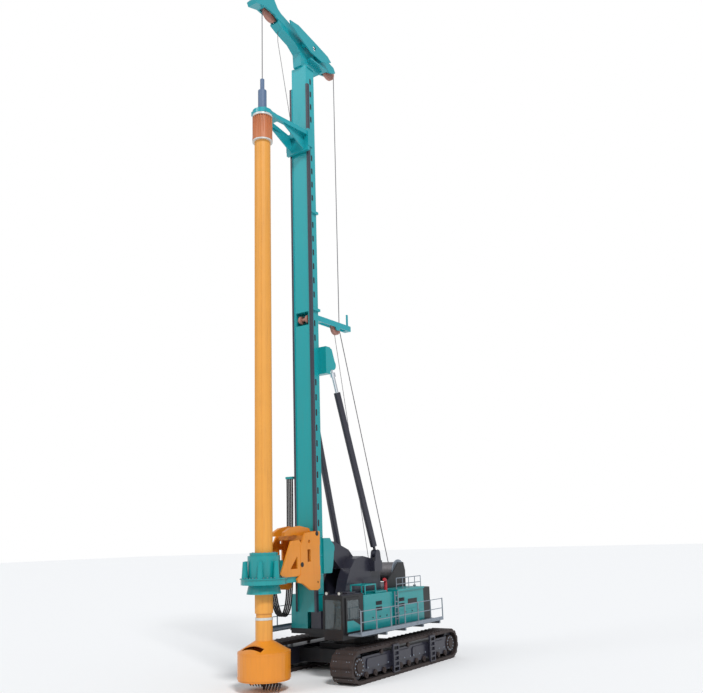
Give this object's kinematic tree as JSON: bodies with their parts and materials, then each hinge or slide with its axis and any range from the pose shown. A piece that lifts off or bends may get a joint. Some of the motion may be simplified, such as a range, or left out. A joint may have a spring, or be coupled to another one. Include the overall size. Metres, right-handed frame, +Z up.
{
  "type": "rotary piling rig",
  "caption": "Tracked drilling machine with slewing upper body, tilting leader mast, sliding rotary drive, telescopic kelly bar and drilling bucket.",
  "frame": {"origin": "on the ground, under the middle of the bounding box; the slewing axis is 1.475 m behind it", "axes": "+X forward towards the drilling tool, +Y to the operator's left, +Z up along the mast"},
  "size_m": [12.1436, 5.9, 31.42],
  "materials": {
    "teal": "semi-gloss teal machine paint",
    "orange": "semi-gloss orange-yellow machine paint",
    "black": "satin black paint",
    "dark_frame": "satin dark blue-grey paint",
    "track_steel": "worn cast steel",
    "grey": "satin grey",
    "sheave_red": "matt red-brown primer",
    "chrome": "polished rod",
    "glass": "tinted cab glass",
    "rubber": "matt black hose",
    "seat": "dark seat cloth"
  },
  "bodies": {
    "undercarriage": {"carbody": "black", "slew_bearing": "grey", "track_left": "track_steel", "track_right": "track_steel", "track_frame_left": "dark_frame", "track_frame_right": "dark_frame"},
    "upper": {"upper_frame": "black", "hood_front_left": "teal", "hood_rear_left": "teal", "hood_right": "teal", "engine": "grey", "counterweight": "black", "walkway_left": "grey", "walkway_right": "grey", "cab": "black", "windscreen": "glass", "cab_window_right": "glass", "operator_seat": "seat", "control_console": "black", "winch_frame": "black", "mast_support": "dark_frame"},
    "cab_door": {"cab_door": "black", "door_window": "glass"},
    "main_winch": {"main_winch_drum": "grey"},
    "aux_winch": {"aux_winch_drum": "grey"},
    "stay_barrel_left": {"stay_barrel_left": "dark_frame"},
    "stay_barrel_right": {"stay_barrel_right": "dark_frame"},
    "stay_rod_left": {"stay_rod_left": "chrome"},
    "stay_rod_right": {"stay_rod_right": "chrome"},
    "mast": {"mast_lower": "teal", "mast_middle": "teal", "mast_upper": "teal", "mast_crown": "teal", "rope_arm": "teal", "hose_bracket": "teal"},
    "crown_front_sheave": {"crown_front_sheave": "sheave_red"},
    "crown_rear_sheave": {"crown_rear_sheave": "sheave_red"},
    "rope_arm_sheave": {"rope_arm_sheave": "sheave_red"},
    "crowd_sheaves": {"crowd_sheaves": "sheave_red"},
    "drive": {"carriage": "orange", "rotary_drive": "teal", "hose_manifold": "teal", "feed_hose_1": "rubber", "feed_hose_2": "rubber", "feed_hose_3": "rubber", "feed_hose_4": "rubber"},
    "drive_sleeve": {"drive_sleeve": "teal"},
    "kelly_guide": {"kelly_guide": "teal"},
    "kelly_outer": {"kelly_outer": "orange", "kelly_damper": "sheave_red"},
    "kelly_inner": {"kelly_inner": "grey", "bucket": "orange"},
    "bucket_door": {"bucket_door": "orange"}
  },
  "joints": [
    {"name": "upper_slew", "type": "hinge", "parent": "undercarriage", "child": "upper", "pos_m": [-1.475, 0, 1.49], "axis": [0, 0, 1], "continuous": true},
    {"name": "mast_tilt", "type": "hinge", "parent": "upper", "child": "mast", "pos_m": [1.065, 0, 5.3], "axis": [0, 1, 0], "range_deg": [-15, 5]},
    {"name": "stay_left_swing", "type": "hinge", "parent": "upper", "child": "stay_barrel_left", "pos_m": [-1.775, 1.03, 4.97], "axis": [0, 1, 0], "range_deg": [-14, 6]},
    {"name": "stay_left_extend", "type": "slide", "parent": "stay_barrel_left", "child": "stay_rod_left", "axis": [0.3134, -0.0342, 0.949], "range_m": [-0.75, 0.3]},
    {"name": "stay_right_swing", "type": "hinge", "parent": "upper", "child": "stay_barrel_right", "pos_m": [-1.775, -1.03, 4.97], "axis": [0, 1, 0], "range_deg": [-14, 6]},
    {"name": "stay_right_extend", "type": "slide", "parent": "stay_barrel_right", "child": "stay_rod_right", "axis": [0.3134, 0.0342, 0.949], "range_m": [-0.75, 0.3]},
    {"name": "cab_door_slide", "type": "slide", "parent": "upper", "child": "cab_door", "axis": [-1, 0, 0], "range_m": [0, 0.8]},
    {"name": "main_winch_turn", "type": "hinge", "parent": "upper", "child": "main_winch", "pos_m": [-4.075, 0, 4.05], "axis": [0, 1, 0], "continuous": true},
    {"name": "aux_winch_turn", "type": "hinge", "parent": "upper", "child": "aux_winch", "pos_m": [-3.075, 0, 3.35], "axis": [0, 1, 0], "continuous": true},
    {"name": "crown_front_turn", "type": "hinge", "parent": "mast", "child": "crown_front_sheave", "pos_m": [4.505, 0, 30.74], "axis": [0, 1, 0], "continuous": true},
    {"name": "crown_rear_turn", "type": "hinge", "parent": "mast", "child": "crown_rear_sheave", "pos_m": [-0.325, 0, 30], "axis": [0, 1, 0], "continuous": true},
    {"name": "rope_arm_sheave_turn", "type": "hinge", "parent": "mast", "child": "rope_arm_sheave", "pos_m": [-0.415, 0, 15.78], "axis": [0, 1, 0], "continuous": true},
    {"name": "crowd_sheave_turn", "type": "hinge", "parent": "mast", "child": "crowd_sheaves", "pos_m": [2.025, 0, 15.7], "axis": [0, 1, 0], "continuous": true},
    {"name": "drive_slide", "type": "slide", "parent": "mast", "child": "drive", "axis": [0, 0, 1], "range_m": [-0.4, 9], "deforming": ["feed_hose_1", "feed_hose_2", "feed_hose_3", "feed_hose_4"]},
    {"name": "sleeve_turn", "type": "hinge", "parent": "drive", "child": "drive_sleeve", "pos_m": [5.025, 0, 3.64], "axis": [0, 0, 1], "continuous": true},
    {"name": "kelly_hoist", "type": "slide", "parent": "mast", "child": "kelly_guide", "axis": [0, 0, 1], "range_m": [-15, 1.2]},
    {"name": "kelly_spin", "type": "hinge", "parent": "kelly_guide", "child": "kelly_outer", "pos_m": [5.025, 0, 24.9], "axis": [0, 0, 1], "continuous": true},
    {"name": "kelly_extend", "type": "slide", "parent": "kelly_outer", "child": "kelly_inner", "axis": [0, 0, 1], "range_m": [-12, 0]},
    {"name": "bucket_door_swing", "type": "hinge", "parent": "kelly_inner", "child": "bucket_door", "pos_m": [3.975, 0, 0.47], "axis": [0, 1, 0], "range_deg": [0, 70]}
  ],
  "couplings": [
    {"joint": "stay_left_swing", "follows": "mast_tilt", "ratio": 0.885},
    {"joint": "stay_left_extend", "follows": "mast_tilt", "m_per_rad": 2.68},
    {"joint": "stay_right_swing", "follows": "mast_tilt", "ratio": 0.885},
    {"joint": "stay_right_extend", "follows": "mast_tilt", "m_per_rad": 2.68},
    {"joint": "sleeve_turn", "follows": "kelly_spin", "ratio": 1}
  ]
}
